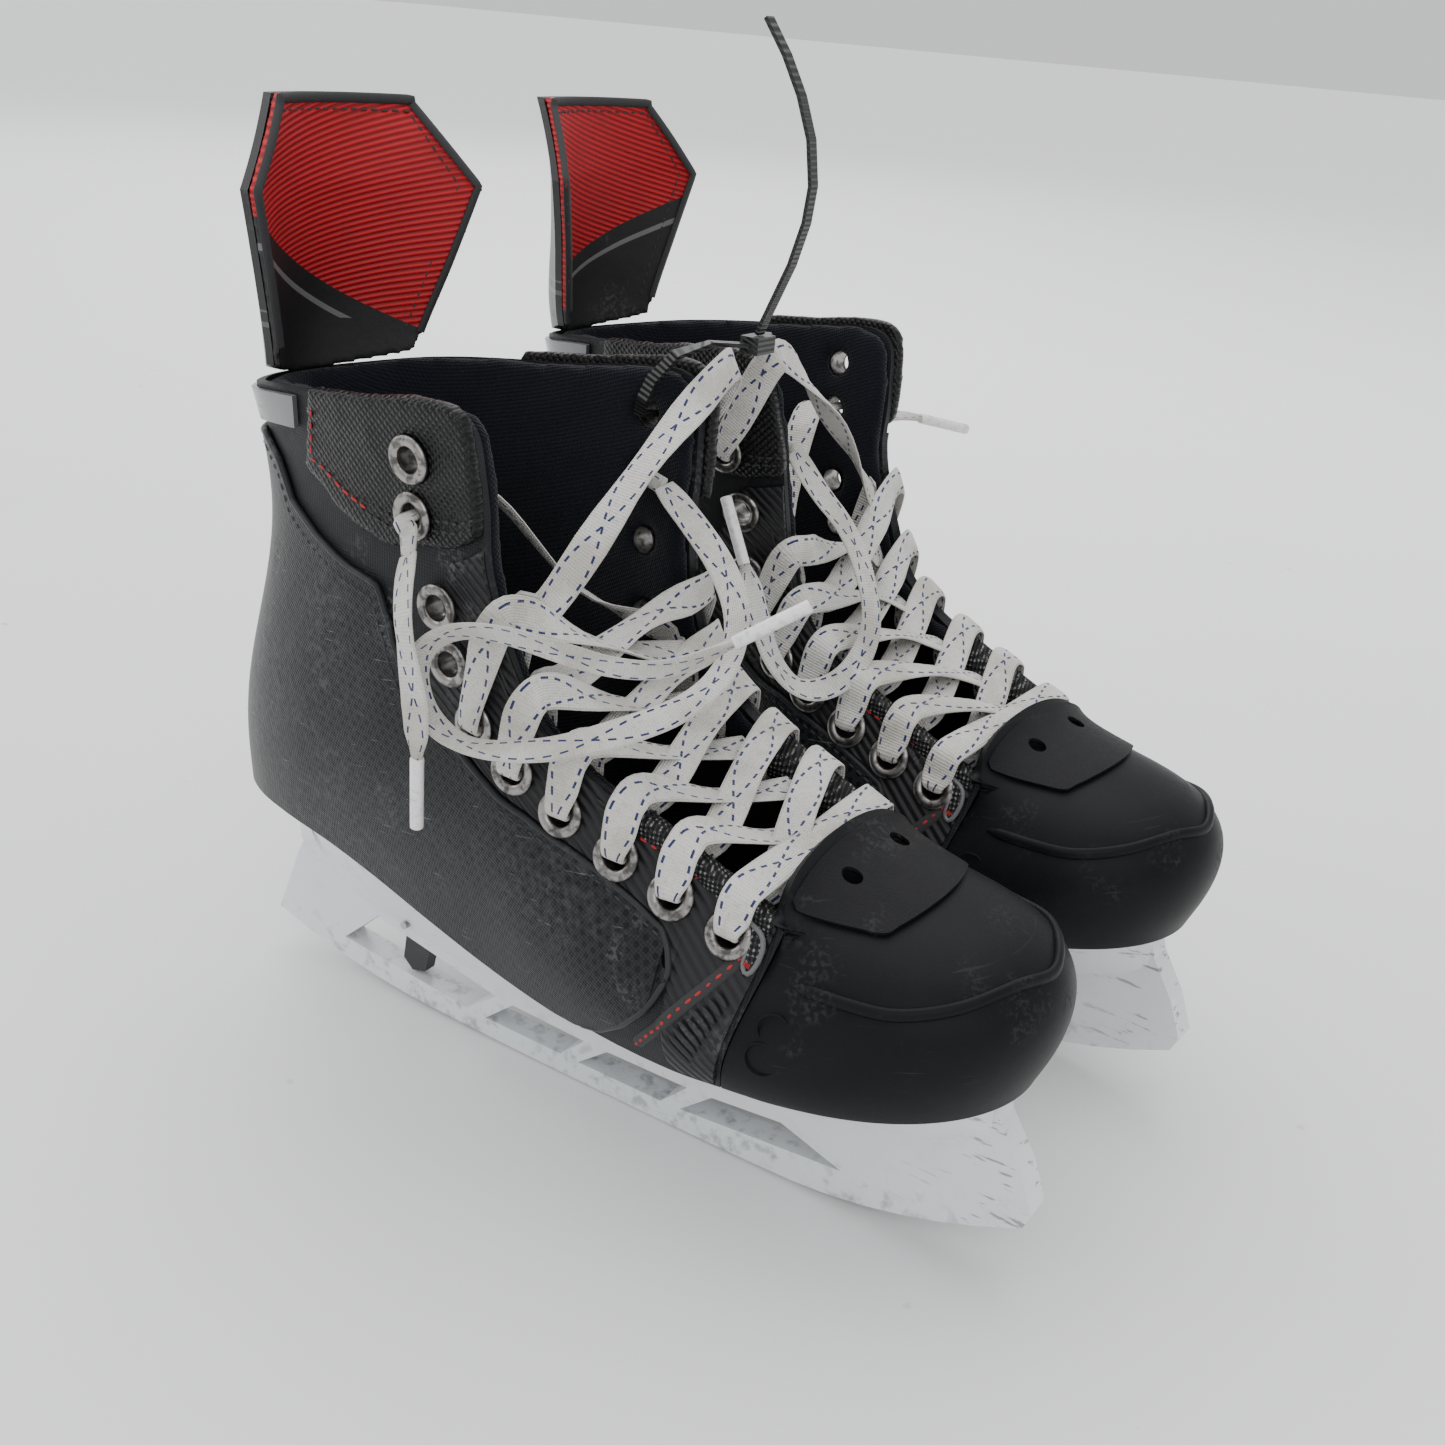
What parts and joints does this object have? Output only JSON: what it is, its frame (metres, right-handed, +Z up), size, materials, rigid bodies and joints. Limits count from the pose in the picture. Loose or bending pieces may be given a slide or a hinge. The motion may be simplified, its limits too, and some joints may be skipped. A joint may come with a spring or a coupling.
{
  "type": "ice hockey skate pair",
  "caption": "Pair of laced ice hockey skates without steel runners: moulded boots, felt-lined throats, tendon guards that flex and runner holders with a release trigger.",
  "frame": {"origin": "centre of the pair's footprint on the floor", "axes": "+X towards the toes, +Y towards the left skate, +Z up; the right skate is at negative Y"},
  "size_m": [0.2909, 0.2865, 0.3144],
  "materials": {
    "underlay": "black, matte",
    "shell": "woven composite, satin with scuffs",
    "liner": "smooth, slightly glossy",
    "facing": "ribbed, matte",
    "wrap": "pebbled, satin",
    "trim": "glossy",
    "eyelet_metal": "dark, worn",
    "lace": "flat woven, slightly soiled",
    "toe_plastic": "moulded, matte with scuffs",
    "outsole_plastic": "matte",
    "footbed_foam": "felt",
    "holder_plastic": "satin white with scuffs",
    "rivet_steel": "bare",
    "trigger_plastic": "matte",
    "guard_plastic": "matte, worn edges",
    "guard_lining": "ribbed lining",
    "aglet_plastic": "clear film",
    "tie_nylon": "ribbed nylon"
  },
  "bodies": {
    "skate_pair": {"boot_shell_right": "underlay", "quarter_right": "shell", "liner_right": "liner", "lateral_facing_right": "facing", "medial_facing_right": "facing", "lateral_ankle_wrap_right": "wrap", "medial_ankle_wrap_right": "wrap", "collar_trim_right": "trim", "eyelets_right": "eyelet_metal", "lace_right": "lace", "toe_cap_right": "toe_plastic", "vamp_panel_right": "toe_plastic", "outsole_right": "outsole_plastic", "footbed_right": "footbed_foam", "holder_right": "holder_plastic", "holder_rivets_right": "rivet_steel", "trigger_pin_right": "rivet_steel", "lateral_lace_end_right": "lace", "medial_lace_end_right": "lace", "lateral_aglet_right": "aglet_plastic", "medial_aglet_right": "aglet_plastic", "boot_shell_left": "underlay", "quarter_left": "shell", "liner_left": "liner", "lateral_facing_left": "facing", "medial_facing_left": "facing", "lateral_ankle_wrap_left": "wrap", "medial_ankle_wrap_left": "wrap", "collar_trim_left": "trim", "eyelets_left": "eyelet_metal", "lace_left": "lace", "toe_cap_left": "toe_plastic", "vamp_panel_left": "toe_plastic", "outsole_left": "outsole_plastic", "footbed_left": "footbed_foam", "holder_left": "holder_plastic", "holder_rivets_left": "rivet_steel", "trigger_pin_left": "rivet_steel", "lateral_lace_end_left": "lace", "medial_lace_end_left": "lace", "lateral_aglet_left": "aglet_plastic", "medial_aglet_left": "aglet_plastic", "nylon_tie": "tie_nylon"},
    "trigger_body_right": {"trigger_right": "trigger_plastic"},
    "tendon_guard_body_right": {"tendon_guard_right": "guard_plastic", "guard_pad_right": "guard_lining"},
    "trigger_body_left": {"trigger_left": "trigger_plastic"},
    "tendon_guard_body_left": {"tendon_guard_left": "guard_plastic", "guard_pad_left": "guard_lining"}
  },
  "joints": [
    {"name": "trigger_pivot_right", "type": "hinge", "parent": "skate_pair", "child": "trigger_body_right", "pos_m": [-0.07749, -0.06444, 0.0305], "axis": [-0.0434, 0.9991, 0], "range_deg": [0, 12], "stiffness_Nm_per_rad": 0.02},
    {"name": "tendon_guard_flex_right", "type": "hinge", "parent": "skate_pair", "child": "tendon_guard_body_right", "pos_m": [-0.13319, -0.06687, 0.20394], "axis": [-0.0434, 0.9991, 0], "range_deg": [-30, 0], "stiffness_Nm_per_rad": 1.2},
    {"name": "trigger_pivot_left", "type": "hinge", "parent": "skate_pair", "child": "trigger_body_left", "pos_m": [-0.07749, 0.06444, 0.0305], "axis": [0.0434, 0.9991, 0], "range_deg": [0, 12], "stiffness_Nm_per_rad": 0.02},
    {"name": "tendon_guard_flex_left", "type": "hinge", "parent": "skate_pair", "child": "tendon_guard_body_left", "pos_m": [-0.13319, 0.06687, 0.20394], "axis": [0.0434, 0.9991, 0], "range_deg": [-30, 0], "stiffness_Nm_per_rad": 1.2}
  ]
}
